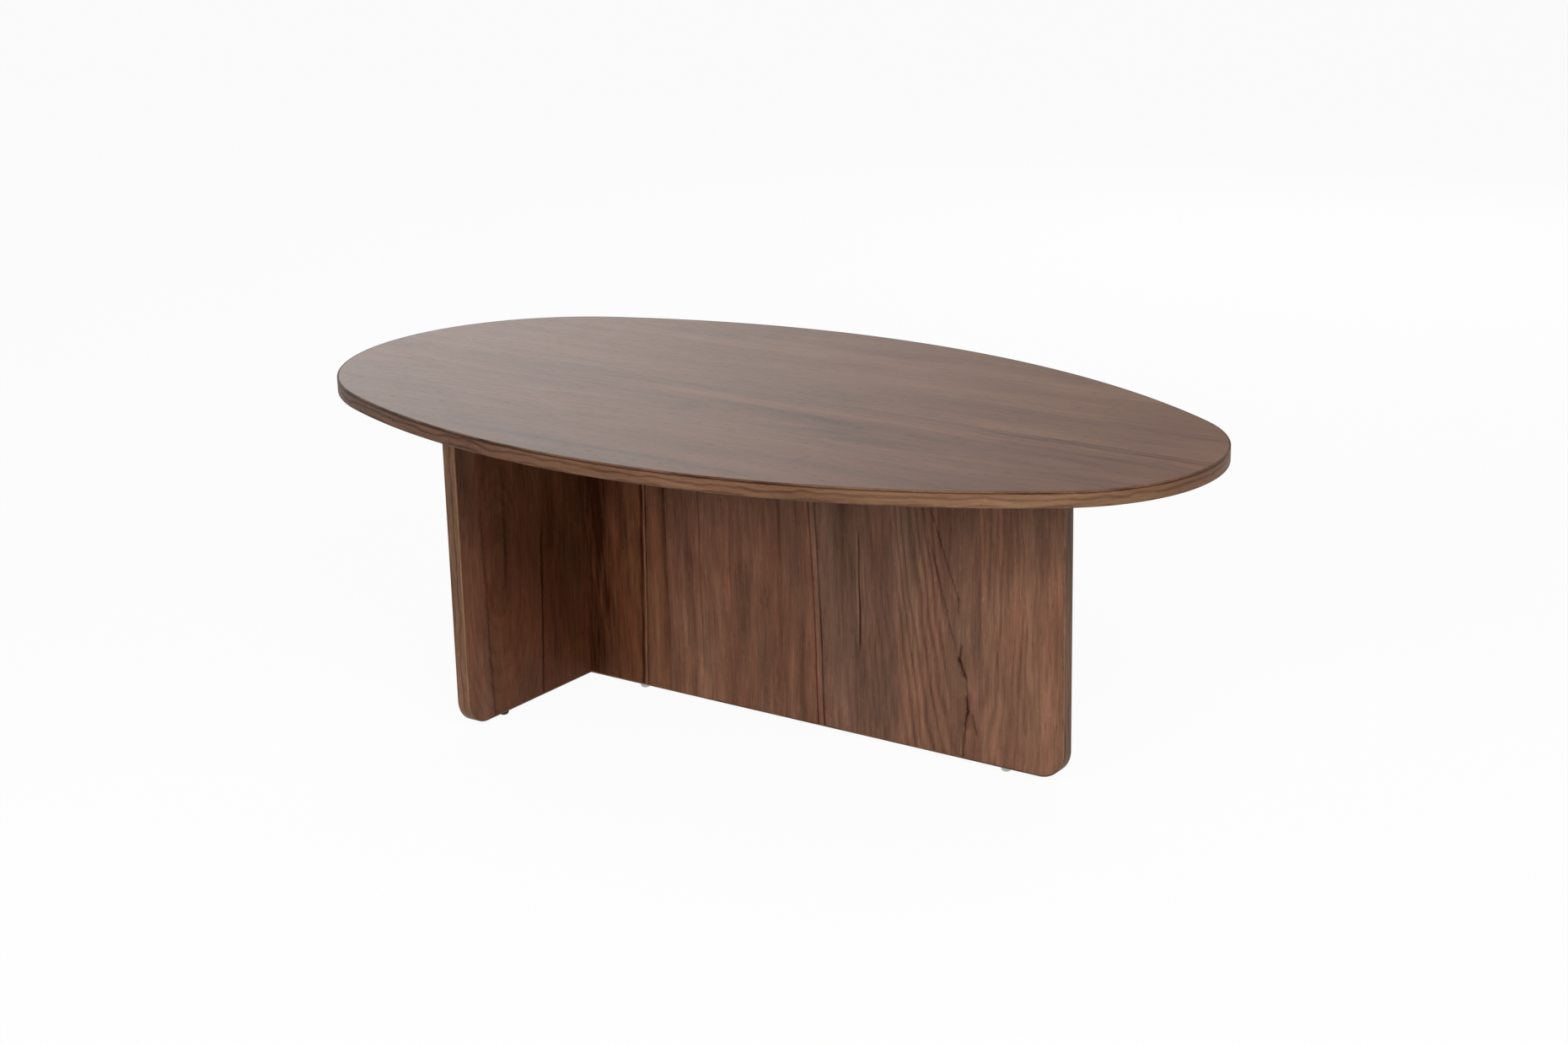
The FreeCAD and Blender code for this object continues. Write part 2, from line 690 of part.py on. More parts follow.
# Feet


def make_foot(label, x, y):
    """A domed glide, flat where it rests on the floor, with a blind hole for its nail."""
    body = new_body(label)
    place(body, x, y, ZERO)
    profile = new_sketch(body, "GlideProfile", "XZ_Plane")
    contact = size("foot_contact_diameter") / 2
    radius = size("foot_diameter") / 2
    shoulder = size("foot_height") - size("foot_rim")
    bulge_x = contact.value + (radius.value - contact.value) * math.sin(math.pi / 4)
    bulge_z = shoulder.value * (1 - math.cos(math.pi / 4))
    dome_foot = Vector(contact.value, 0, 0)
    dome_shoulder = Vector(radius.value, shoulder.value, 0)
    rim = Vector(radius.value, size("foot_height").value, 0)
    crown = Vector(0, size("foot_height").value, 0)
    floor_line = profile.addGeometry(Part.LineSegment(Vector(), dome_foot))
    dome = profile.addGeometry(Part.Arc(dome_foot, Vector(bulge_x, bulge_z, 0), dome_shoulder))
    wall = profile.addGeometry(Part.LineSegment(dome_shoulder, rim))
    roof = profile.addGeometry(Part.LineSegment(rim, crown))
    core = profile.addGeometry(Part.LineSegment(crown, Vector()))
    ring = [floor_line, dome, wall, roof, core]
    for piece, following in zip(ring, ring[1:] + ring[:1]):
        profile.addConstraint(Sketcher.Constraint("Coincident", piece, 2, following, 1))
    profile.addConstraint(Sketcher.Constraint("Tangent", dome, wall))
    bind_point(profile, floor_line, 1, ZERO, ZERO)
    bind_point(profile, floor_line, 2, contact, ZERO)
    bind_point(profile, wall, 1, radius, shoulder)
    bind_point(profile, wall, 2, radius, size("foot_height"))
    bind_point(profile, roof, 2, ZERO, size("foot_height"))
    revolve(body, profile, "V_Axis")
    hole = new_sketch(body, "NailHole", "XY_Plane", size("foot_height"))
    draw_circle(hole, ZERO, ZERO, nail_bore)
    pocket(body, hole, size("nail_seat"))


def make_foot_nails(label, x, y, span, rotation):
    body = new_body(label)
    place(body, x, y, size("foot_height") - size("nail_seat"), rotation)
    profile = new_sketch(body, "NailProfile", "XZ_Plane")
    radius = size("nail_diameter") / 2
    shaft = size("nail_length") - size("nail_point")
    draw_polygon(profile, [(ZERO, ZERO), (radius, ZERO), (radius, shaft), (ZERO, size("nail_length"))])
    nail = revolve(body, profile, "V_Axis")
    repeat(body, [nail], span, as_size(PAIR_COUNT))


def make_feet():
    first = cross_inner_face + size("spine_foot_inset")
    make_foot("foot_spine_inner", first, ZERO)
    make_foot("foot_spine_end", first + spine_foot_span, ZERO)
    make_foot("foot_cross_front", cross_middle, -cross_foot_span / 2)
    make_foot("foot_cross_rear", cross_middle, cross_foot_span / 2)
    quarter_turn = Rotation(UP, -90)
    make_foot_nails("spine_foot_nails", first, ZERO, spine_foot_span, quarter_turn)
    make_foot_nails("cross_foot_nails", cross_middle, -cross_foot_span / 2, cross_foot_span, Rotation())


# Build, check and write


def check_document():
    doc.recompute()
    for thing in doc.Objects:
        if "Invalid" in thing.State or "Error" in thing.State:
            raise RuntimeError(f"{thing.Label} failed: {thing.State}")
    for body in sub_parts:
        if body.Shape.isNull() or not body.Shape.isValid():
            raise RuntimeError(f"{body.Label} has no valid shape")


def write_parts():
    os.makedirs("parts", exist_ok=True)
    for body in sub_parts:
        body.Shape.exportStep(os.path.join("parts", f"{body.Label}.step"))
        box = body.Shape.BoundBox
        print(f"{body.Label}: {len(body.Shape.Solids)} solids, {body.Shape.Volume:.0f} mm3, "
              f"x {box.XMin:.1f} to {box.XMax:.1f}, y {box.YMin:.1f} to {box.YMax:.1f}, "
              f"z {box.ZMin:.1f} to {box.ZMax:.1f}")


make_table_top()
make_top_edge_band()
make_spine_panel()
make_spine_edge_band()
make_cross_panel()
make_cross_edge_band()
for joint_name in JOINTS:
    make_dowels(joint_name)
    make_cam_bolts(joint_name)
    make_cam_nuts(joint_name)
    make_cam_caps(joint_name)
make_feet()
check_document()
write_parts()
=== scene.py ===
"""Looks of the coffee table: walnut boards, wrapped edge bands, metal glides, soft studio light."""
import math
from collections import namedtuple

import bmesh
import bpy
from mathutils import Matrix, Vector


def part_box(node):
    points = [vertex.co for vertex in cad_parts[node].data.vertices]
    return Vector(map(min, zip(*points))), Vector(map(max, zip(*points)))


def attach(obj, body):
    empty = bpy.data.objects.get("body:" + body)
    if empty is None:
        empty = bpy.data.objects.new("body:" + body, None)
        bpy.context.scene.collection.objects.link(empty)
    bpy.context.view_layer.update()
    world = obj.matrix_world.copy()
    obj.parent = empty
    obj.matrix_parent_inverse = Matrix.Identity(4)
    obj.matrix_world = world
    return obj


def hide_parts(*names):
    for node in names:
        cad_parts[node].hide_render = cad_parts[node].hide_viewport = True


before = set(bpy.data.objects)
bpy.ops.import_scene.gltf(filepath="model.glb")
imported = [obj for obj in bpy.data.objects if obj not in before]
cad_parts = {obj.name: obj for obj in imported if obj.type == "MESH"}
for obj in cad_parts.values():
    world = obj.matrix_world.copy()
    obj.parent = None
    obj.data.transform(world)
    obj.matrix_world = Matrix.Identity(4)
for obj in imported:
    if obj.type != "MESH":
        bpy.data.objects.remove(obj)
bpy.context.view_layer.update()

# Sizes in metres that the boxes of the frame's nodes don't give
BROAD_END_RADIUS = 0.266
TIP_RADIUS = 0.199
CORNER_RADIUS = 0.032
BAND_THICKNESS = 0.002
BAND_ROUND = 0.001

# How finely the meshes are made, and the name of the edge bands' own map
OUTLINE_STEP = 0.004
CORNER_STEPS = 16
ROUND_STEPS = 4
SHARP_ANGLE = math.radians(40)
HALVINGS = 60
WIDEST_ARC_LENGTHS = 20
BAND_MAP = "run"

# Domed glides
GLIDE_CONTACT_SHARE = 0.52
GLIDE_RIM = 0.0016
GLIDE_RIM_ROUND = 0.0004
GLIDE_TURNS = 64
GLIDE_DOME_STEPS = 14

# Camera, from the solved view of the photograph
CAMERA_PLACE = (1.7668, -2.4265, 1.1651)
CAMERA_TURN = math.radians(32.832)
CAMERA_TILT = math.radians(73.458)
CAMERA_ROLL = math.radians(-0.507)
CAMERA_LENS = 60.71
CAMERA_SENSOR = 36.0
CAMERA_SHIFT = (-0.0806, -0.0161)

# Studio
FLOOR_RADIUS = 60.0
FLOOR_RING_STEPS = 96
FLOOR_WHITE_SHARE = 0.94
FLOOR_GLOW = 1.0
ROOM_COLOUR = (1.01, 0.998, 0.973, 1.0)
# The room's back wall, left wall and pale horizon: direction, where along it the light starts and is full,
# and its level before and after
ROOM_WALLS = [
    ((0.0, 1.0, 0.0), -0.2, 0.6, 0.18, 0.25),
    ((-0.92, 0.32, 0.22), 0.72, 0.93, 0.0, 1.36),
    ((0.0, 0.0, -1.0), -0.2, -0.01, 0.0, 0.65),
]
Lamp = namedtuple("Lamp", "name place size power")
LAMPS = [
    Lamp("front_softbox", (0.15, -3.55, 1.9), (1.8, 1.2), 80.0),
    Lamp("right_softbox", (2.2, -1.65, 2.4), (1.2, 1.0), 76.0),
    Lamp("rear_softbox", (-0.6, 3.6, 1.7), (2.0, 1.4), 40.0),
]
LAMP_AIM = Vector((0.0, 0.0, 0.25))


def linear(red, green, blue):
    """A colour written as it looks on a screen (0 to 255), as the shader's linear numbers."""
    channels = []
    for channel in (red, green, blue):
        share = channel / 255
        if share <= 0.04045:
            channels.append(share / 12.92)
        else:
            channels.append(((share + 0.055) / 1.055) ** 2.4)
    return (*channels, 1.0)


class Graph:
    """The node tree of one material, with a short method for each kind of node used here."""

    def __init__(self, name):
        self.material = bpy.data.materials.new(name)
        self.material.use_nodes = True
        self.tree = self.material.node_tree
        self.tree.nodes.clear()
        self.shader = self.add("ShaderNodeBsdfPrincipled")
        self.output = self.add("ShaderNodeOutputMaterial")
        self.tree.links.new(self.shader.outputs["BSDF"], self.output.inputs["Surface"])

    def add(self, kind):
        return self.tree.nodes.new(kind)

    def feed(self, socket, value):
        """Links another node's output to a socket, or sets a plain value on it."""
        if isinstance(value, bpy.types.NodeSocket):
            self.tree.links.new(value, socket)
        else:
            socket.default_value = value

    def math(self, operation, *values):
        node = self.add("ShaderNodeMath")
        node.operation = operation
        for socket, value in zip(node.inputs, values):
            self.feed(socket, value)
        return node.outputs["Value"]

    def plus(self, first, second):
        return self.math("ADD", first, second)

    def times(self, first, second):
        return self.math("MULTIPLY", first, second)

    def scaled_sum(self, value, factor, start):
        return self.math("MULTIPLY_ADD", value, factor, start)

    def parts(self, vector):
        node = self.add("ShaderNodeSeparateXYZ")
        self.feed(node.inputs["Vector"], vector)
        return {axis: node.outputs[axis] for axis in "XYZ"}

    def coordinates(self):
        """Metres in the frame."""
        return self.parts(self.add("ShaderNodeTexCoord").outputs["Object"])

    def band_coordinates(self):
        """An edge band's run and offset in metres, from its own map."""
        source = self.add("ShaderNodeUVMap")
        source.uv_map = BAND_MAP
        return self.parts(source.outputs["UV"])

    def vector(self, *parts):
        node = self.add("ShaderNodeCombineXYZ")
        for socket, value in zip(node.inputs, parts):
            self.feed(socket, value)
        return node.outputs["Vector"]

    def scaled(self, place, scales):
        """A vector of a place's first parts, each times its own scale."""
        return self.vector(*(self.times(place[axis], scale) for axis, scale in zip("XYZ", scales)))

    def noise(self, vector, detail=2.0, roughness=0.5):
        """Noise centred on zero, about a quarter each way."""
        node = self.add("ShaderNodeTexNoise")
        self.feed(node.inputs["Vector"], vector)
        node.inputs["Scale"].default_value = 1.0
        node.inputs["Detail"].default_value = detail
        node.inputs["Roughness"].default_value = roughness
        return self.math("SUBTRACT", node.outputs["Fac"], 0.5)

    def smooth_step(self, value, low, high):
        """Rises smoothly from 0 at low to 1 at high."""
        node = self.add("ShaderNodeMapRange")
        node.interpolation_type = "SMOOTHSTEP"
        self.feed(node.inputs["Value"], value)
        node.inputs["From Min"].default_value = low
        node.inputs["From Max"].default_value = high
        return node.outputs["Result"]

    def ramp(self, value, stops):
        """A colour from a value, through (position, colour) stops."""
        node = self.add("ShaderNodeValToRGB")
        self.feed(node.inputs["Fac"], value)
        elements = node.color_ramp.elements
        while len(elements) < len(stops):
            elements.new(1.0)
        for element, (position, colour) in zip(elements, stops):
            element.position = position
            element.color = colour
        return node.outputs["Color"]

    def tint(self, colour, value, stops):
        """A colour times the tint that a value picks from (position, colour) stops."""
        tints = self.ramp(value, stops)
        node = self.add("ShaderNodeVectorMath")
        node.operation = "MULTIPLY"
        self.feed(node.inputs[0], colour)
        self.feed(node.inputs[1], tints)
        return node.outputs["Vector"]

    def shade(self, colour, factor):
        """A colour made darker or lighter by a grey factor."""
        node = self.add("ShaderNodeVectorMath")
        node.operation = "SCALE"
        self.feed(node.inputs[0], colour)
        self.feed(node.inputs["Scale"], factor)
        return node.outputs["Vector"]

    def bump(self, height, strength, distance):
        node = self.add("ShaderNodeBump")
        node.inputs["Strength"].default_value = strength
        node.inputs["Distance"].default_value = distance
        self.feed(node.inputs["Height"], height)
        self.feed(self.shader.inputs["Normal"], node.outputs["Normal"])

    def set(self, name, value):
        self.feed(self.shader.inputs[name], value)


# Walnut
# Noise in long shapes along the grain: shapes to the metre across and along it, and how fine they get
Grain = namedtuple("Grain", "across along detail roughness")
BANDS = Grain(15.0, 1.8, 1.0, 0.5)
FLAMES = Grain(48.0, 7.0, 3.0, 0.55)
FIBRE = Grain(330.0, 22.0, 3.0, 0.6)
RED_FIGURE = Grain(24.0, 4.0, 2.0, 0.5)
PORES = Grain(700.0, 60.0, 1.0, 0.5)
FLECKS = Grain(480.0, 90.0, 2.0, 0.5)
# The grain wavers slowly and quickly, in shapes to the metre across and along it
SLOW_WAVER = (2.5, 2.4)
QUICK_WAVER = (9.0, 16.0)
QUICK_WAVER_SHARE = 0.25
# Noise that makes growth rings uneven: shapes to the metre along their radius and along the grain
RING_NOISE = (36.0, 7.0)
# A streak's jags to the metre, and the share of its length over which each end fades
JAG_SCALE = 130.0
STREAK_FADE = 0.12
# Where noise turns into open pores and pale flecks, and what these and the fibre change
PORE_RANGE = (0.1, 0.26)
FLECK_RANGE = (0.06, 0.24)
PLAIN_SHADE = 0.98
PORE_SHADE = -0.22
FLECK_SHADE = 0.2
PORE_ROUGHNESS = 0.12
FIBRE_ROUGHNESS = 0.16
FIBRE_RELIEF = 0.5
PORE_RELIEF = -1.0
WALNUT_BUMP = {"strength": 0.25, "distance": 0.0002}
# Tints from cool to warm: within a leaf's figure, and from one leaf to another, which on the uprights is
# also painted shade, deep red brown by their joint and paler where they are lit
FIGURE_TINTS = [(0.0, (0.93, 1.04, 1.02, 1.0)), (1.0, (1.09, 0.95, 0.93, 1.0))]
LEAF_AND_SHADE_TINTS = [(0.0, (1.0, 1.16, 1.28, 1.0)), (0.5, (1.0, 1.0, 1.0, 1.0)), (1.0, (1.0, 0.8, 0.6, 1.0))]
# Edge bands: their lines' spacing and swell, the dark line below the top's upper edge, and the width of a
# tone that covers a whole band
EDGE_LINE_SPACING = 0.0095
EDGE_SWELL = 0.014
EDGE_SWELL_NOISE = (19.0, 15.0)
EDGE_LINE_DROP = 0.0022
EDGE_TONE_WIDTH = 0.05
# Where along an upright's band its arrises get pale lines as a painted highlight: down its first end, and
# up the cross board's second end, which on the spine's shorter band is the last of the bottom
ARRIS_HIGHLIGHT_RUNS = [(-0.1, 0.35), (0.85, 1.3)]

# A leaf is one slice of the board's face. It starts at a place across the grain, and its growth rings are
# cut round a heart: rise and slope give the heart's depth below the face along the grain. Its warmth goes
# from -0.5 (pale) to 0.5 (deep red brown). On the uprights it is partly wood tone and partly painted
# shade:
# deep by their joint, where shade falls, and pale where they are lit.
Leaf = namedtuple(
    "Leaf", "start lean heart heart_lean rise slope spacing contrast tone warmth", defaults=[0.0]
)
RING_FIELDS = ("heart", "heart_lean", "rise", "slope", "spacing", "contrast")
# A streak is a dark (tone below 0) or light line along the grain, between a low and a high end. With a jag
# it wanders about its line.
Streak = namedtuple("Streak", "at lean width low high tone jag", defaults=[0.0])
# A look holds the three colours of a walnut surface and how strongly its figure shows.
Look = namedtuple(
    "Look", "dark middle light bands flames fibre rings ring_edge uneven tint waver roughness specular"
)

UPRIGHT_LOOK = Look(
    dark=linear(44, 20, 7), middle=linear(109, 76, 60), light=linear(154, 115, 91),
    bands=0.5, flames=0.6, fibre=0.5, rings=0.22, ring_edge=0.3, uneven=2.4, tint=2.0,
    waver=0.012, roughness=0.55, specular=0.1,
)
# The cross board's walnut: the uprights' walnut painted darker and more saturated, as painted shade on the
# board that stands in the corner's shade
CROSS_SHADED_LOOK = UPRIGHT_LOOK._replace(
    middle=linear(102, 69, 52), light=linear(144, 106, 84),
)
TOP_LOOK = Look(
    dark=linear(54, 33, 23), middle=linear(106, 73, 57), light=linear(140, 104, 84),
    bands=0.4, flames=0.4, fibre=0.4, rings=0.1, ring_edge=0.3, uneven=2.4, tint=0.6,
    waver=0.016, roughness=0.36, specular=0.5,
)
EDGE_LOOK = Look(
    dark=linear(41, 21, 11), middle=linear(96, 68, 50), light=linear(126, 96, 74),
    bands=0.3, flames=0.6, fibre=0.5, rings=0.28, ring_edge=0.45, uneven=1.2, tint=0.7,
    waver=0.0, roughness=0.5, specular=0.14,
)


def leaf_values(graph, along, across, leaves, field):
    """A number that holds one value on each leaf and steps at the joints between them."""
    value = getattr(leaves[0], field)
    for before, leaf in zip(leaves, leaves[1:]):
        change = getattr(leaf, field) - getattr(before, field)
        if change:
            place = graph.scaled_sum(along, -leaf.lean, across)
            step = graph.math("GREATER_THAN", place, leaf.start)
            value = graph.scaled_sum(step, change, value)
    return value


def growth_rings(graph, along, across, leaves, look):
    """Darkening by late wood, stronger towards the end of each ring, from 0 to 1."""
    heart, heart_lean, rise, slope, spacing, contrast = (
        leaf_values(graph, along, across, leaves, field) for field in RING_FIELDS
    )
    offset = graph.math("SUBTRACT", across, graph.scaled_sum(along, heart_lean, heart))
    depth = graph.scaled_sum(along, slope, rise)
    squares = graph.scaled_sum(offset, offset, graph.times(depth, depth))
    radius = graph.math("SQRT", squares)
    uneven = graph.noise(graph.scaled({"X": radius, "Y": along}, RING_NOISE))
    turns = graph.scaled_sum(uneven, look.uneven, graph.math("DIVIDE", radius, spacing))
    late = graph.smooth_step(graph.math("PINGPONG", turns, 0.5), look.ring_edge / 2, 0.5)
    return graph.times(late, contrast)


def add_streaks(graph, along, across, streaks, start):
    """Adds each streak's tone, soft across its width and at its ends."""
    jags = graph.noise(graph.vector(graph.times(along, JAG_SCALE)), 3.0, 0.6)
    total = start
    for streak in streaks:
        centre = graph.scaled_sum(along, streak.lean, streak.at)
        if streak.jag:
            centre = graph.scaled_sum(jags, streak.jag, centre)
        offset = graph.math("DIVIDE", graph.math("SUBTRACT", across, centre), streak.width)
        bell = graph.math("EXPONENT", graph.times(graph.times(offset, offset), -1.0))
        fade = STREAK_FADE * (streak.high - streak.low)
        begun = graph.smooth_step(along, streak.low - fade, streak.low + fade)
        ended = graph.smooth_step(along, streak.high + fade, streak.high - fade)
        shown = graph.times(graph.times(begun, ended), bell)
        total = graph.scaled_sum(shown, streak.tone, total)
    return total


def walnut(graph, along, across, depth, leaves, streaks, look, ring_shift=0.0, warmth_and_shade_share=1.0):
    """Fills a graph with satin walnut: flames, growth rings, fibre, open pores and placed streaks.
    A ring shift moves the rings alone across the grain. A warmth and shade share says how far the leaves'
    warmth shows; on the uprights that warmth is partly painted shade by their joint."""

    def waver(scales):
        across_scale, along_scale = scales
        return graph.noise(
            graph.vector(graph.times(across, across_scale), graph.times(along, along_scale), depth)
        )

    def stretched(grain):
        place = {"X": side, "Y": along, "Z": depth}
        scales = (grain.across, grain.along, grain.along)
        return graph.noise(graph.scaled(place, scales), grain.detail, grain.roughness)

    quick = graph.scaled_sum(waver(QUICK_WAVER), look.waver * QUICK_WAVER_SHARE, across)
    side = graph.scaled_sum(waver(SLOW_WAVER), look.waver, quick)

    fibre = stretched(FIBRE)
    rings = growth_rings(graph, along, graph.plus(side, ring_shift), leaves, look)
    tone = graph.scaled_sum(stretched(BANDS), look.bands, 0.5)
    tone = graph.scaled_sum(stretched(FLAMES), look.flames, tone)
    tone = graph.scaled_sum(fibre, look.fibre, tone)
    tone = graph.scaled_sum(rings, -look.rings, tone)
    tone = graph.plus(tone, leaf_values(graph, along, side, leaves, "tone"))
    tone = add_streaks(graph, along, side, streaks, tone)

    colour = graph.ramp(tone, [(0.0, look.dark), (0.5, look.middle), (1.0, look.light)])
    colour = graph.tint(colour, graph.scaled_sum(stretched(RED_FIGURE), look.tint, 0.5), FIGURE_TINTS)
    if any(leaf.warmth for leaf in leaves):
        warmth = leaf_values(graph, along, side, leaves, "warmth")
        colour = graph.tint(colour, graph.scaled_sum(warmth, warmth_and_shade_share, 0.5), LEAF_AND_SHADE_TINTS)

    pores = graph.smooth_step(stretched(PORES), *PORE_RANGE)
    flecks = graph.smooth_step(stretched(FLECKS), *FLECK_RANGE)
    grey = graph.scaled_sum(flecks, FLECK_SHADE, graph.scaled_sum(pores, PORE_SHADE, PLAIN_SHADE))
    graph.set("Base Color", graph.shade(colour, grey))
    roughness = graph.scaled_sum(pores, PORE_ROUGHNESS, look.roughness)
    graph.set("Roughness", graph.scaled_sum(fibre, FIBRE_ROUGHNESS, roughness))
    graph.set("Specular IOR Level", look.specular)
    graph.bump(graph.scaled_sum(pores, PORE_RELIEF, graph.times(fibre, FIBRE_RELIEF)), **WALNUT_BUMP)


def top_walnut():
    graph = Graph("walnut_top")
    place = graph.coordinates()
    # The rear leaf is lighter and the front leaf darker partly as painted sheen, matching the top's
    # reflection; the rest is wood tone
    leaves = [
        Leaf(-0.4, 0, -0.60, 0, 0.0, 0, 0.016, 0.6, -0.12, 0.1),
        Leaf(-0.165, 0, -0.08, 0.02, 0.05, 0.05, 0.011, 1.0, -0.02, 0.05),
        Leaf(0.012, 0, 0.42, 0, 0.02, 0, 0.014, 0.7, 0.06, -0.08),
        Leaf(0.19, 0, 0.24, 0.03, 0.03, 0.04, 0.012, 0.9, 0.12, -0.12),
    ]
    streaks = [
        # Two jagged lines that run out at the tip
        Streak(0.001, 0, 0.0020, 0.30, 0.62, -0.34, 0.004),
        Streak(0.010, 0, 0.0018, 0.36, 0.62, -0.32, 0.004),
        # A pale line, then the shade and lines of the figure in front of the middle
        Streak(-0.025, 0, 0.012, -0.18, 0.32, 0.17),
        Streak(-0.078, 0, 0.0300, -0.14, 0.27, -0.06),
        Streak(-0.045, 0, 0.0050, -0.04, 0.22, -0.10),
        Streak(-0.054, 0, 0.0040, -0.02, 0.28, -0.10),
        Streak(-0.063, 0, 0.0050, 0.04, 0.30, -0.10),
        Streak(-0.077, 0, 0.0040, 0.10, 0.28, -0.10),
        Streak(-0.094, 0, 0.0050, 0.12, 0.31, -0.09),
        Streak(-0.112, 0, 0.0040, 0.15, 0.27, -0.09),
        Streak(-0.088, 0, 0.006, -0.03, 0.13, 0.14),
        # Shades behind the middle, and a dark line along the front
        Streak(0.032, 0, 0.024, -0.08, 0.12, -0.14),
        Streak(0.255, 0, 0.012, -0.06, 0.11, -0.06),
        Streak(-0.280, 0, 0.005, -0.20, 0.20, -0.16),
    ]
    walnut(graph, place["X"], place["Y"], place["Z"], leaves, streaks, TOP_LOOK)
    return graph.material


def spine_walnut():
    graph = Graph("walnut_spine")
    place = graph.coordinates()
    low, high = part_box("spine_panel")
    from_joint = graph.math("SUBTRACT", place["X"], low.x)
    # Painted shade: the first leaves by the cross board are darker, and the leaves' warmth, shown on the
    # front face only, is deep red brown in that corner and pale where the face is lit; partly wood tone as
    # well
    front_face_painted_shade = graph.smooth_step(place["Y"], high.y, low.y)
    leaves = [
        Leaf(-0.1, 0, -0.30, 0, 0.0, 0, 0.010, 0.2, -0.14, 0.5),
        Leaf(0.086, 0.028, 0.60, 0, 0.02, 0, 0.012, 0.2, -0.09, 0.3),
        Leaf(0.128, 0, 0.60, 0, 0.02, 0, 0.012, 0.2, 0.03, 0.04),
        Leaf(0.352, -0.03, 0.10, 0, 0.02, 0, 0.011, 0.2, -0.11, -0.35),
        Leaf(0.410, 0, 0.562, -0.05, 0.062, -0.155, 0.0092, 0.3, -0.03, -0.25),
        Leaf(0.474, -0.05, 0.562, -0.05, 0.062, -0.155, 0.0092, 0.9, 0.02, -0.15),
        Leaf(0.536, -0.05, 0.562, -0.05, 0.062, -0.155, 0.0092, 0.2, -0.08, -0.15),
        Leaf(0.582, -0.03, 0.562, -0.05, 0.062, -0.155, 0.0080, 0.45, 0.05),
        Leaf(0.640, -0.02, 0.562, -0.05, 0.062, -0.155, 0.0080, 0.3, 0.09),
    ]
    streaks = [
        # Shade in the corner by the cross board
        Streak(0.0100, 0, 0.0300, -0.1, 0.5, -0.2),
        Streak(0.0300, 0, 0.0350, 0.17, 0.5, -0.09),
        # Line between the first two leaves, with a pale edge
        Streak(0.0835, 0.028, 0.0028, -0.1, 0.5, -0.34),
        Streak(0.0880, 0.028, 0.0011, -0.1, 0.5, 0.24),
        Streak(0.0905, 0.028, 0.0010, -0.1, 0.5, -0.34),
        # Tones and lines from there to the double line
        Streak(0.1080, 0, 0.0060, -0.1, 0.5, 0.04),
        Streak(0.1650, 0, 0.0600, 0.14, 0.5, -0.08),
        Streak(0.2250, 0, 0.0120, 0.17, 0.5, -0.07),
        Streak(0.1260, 0, 0.0060, 0.05, 0.5, -0.14),
        Streak(0.1520, 0, 0.0030, -0.05, 0.24, 0.14),
        Streak(0.1660, 0, 0.0024, -0.05, 0.20, -0.14),
        Streak(0.2060, 0, 0.0050, -0.05, 0.17, 0.14),
        Streak(0.1800, 0, 0.0260, -0.05, 0.16, 0.08),
        Streak(0.1780, 0, 0.0009, 0.05, 0.30, -0.25),
        Streak(0.2400, 0, 0.0150, -0.02, 0.19, -0.11),
        Streak(0.2850, 0, 0.0500, -0.10, 0.50, -0.07),
        Streak(0.2960, 0, 0.0030, 0.20, 0.50, -0.2),
        Streak(0.3110, 0, 0.0060, -0.05, 0.10, 0.12),
        Streak(0.3280, 0, 0.0070, -0.05, 0.13, -0.2),
        # Double line
        Streak(0.3490, -0.03, 0.0013, -0.1, 0.5, -0.42),
        Streak(0.3535, -0.03, 0.0018, -0.1, 0.5, 0.1),
        Streak(0.3580, -0.03, 0.0013, -0.1, 0.5, -0.36),
        # Broad tones between the double line and the free end
        Streak(0.3870, 0, 0.0180, 0.06, 0.5, -0.02),
        Streak(0.3760, 0, 0.0200, 0.17, 0.5, 0.06),
        Streak(0.4450, 0, 0.0300, 0.16, 0.5, 0.05),
        Streak(0.6550, 0, 0.0300, 0.20, 0.5, 0.06),
        Streak(0.6000, 0, 0.0250, 0.18, 0.5, 0.08),
        Streak(0.6320, 0, 0.0100, -0.05, 0.17, -0.06),
        # Short pale and dark pair of lines
        Streak(0.4055, 0.01, 0.0011, 0.12, 0.26, 0.25),
        Streak(0.4085, 0.01, 0.0010, 0.12, 0.26, -0.45),
        # Crack: jagged pieces, roughly from the top down, and the shade round them
        Streak(0.6179, -0.362, 0.0012, 0.20, 0.30, -0.25, 0.005),
        Streak(0.5460, 0, 0.0012, 0.182, 0.202, -0.27, 0.004),
        Streak(0.5822, -0.283, 0.0012, 0.145, 0.26, -0.24, 0.006),
        Streak(0.5327, 0.120, 0.0020, 0.124, 0.145, -0.31, 0.004),
        Streak(0.5939, -0.360, 0.0026, 0.106, 0.128, -0.33, 0.006),
        Streak(0.5612, -0.041, 0.0017, 0.062, 0.110, -0.31, 0.007),
        Streak(0.5575, 0, 0.0065, 0.045, 0.085, -0.16),
        Streak(0.5560, 0, 0.0130, -0.03, 0.15, -0.10),
        Streak(0.5512, 0.102, 0.0016, -0.01, 0.066, -0.28, 0.007),
        Streak(0.5830, -0.291, 0.0018, 0.038, 0.064, -0.26, 0.006),
        # Faint line beside the crack
        Streak(0.5740, 0, 0.0020, -0.05, 0.28, -0.06),
    ]
    walnut(graph, place["Z"], from_joint, place["Y"], leaves, streaks, UPRIGHT_LOOK, warmth_and_shade_share=front_face_painted_shade)
    return graph.material


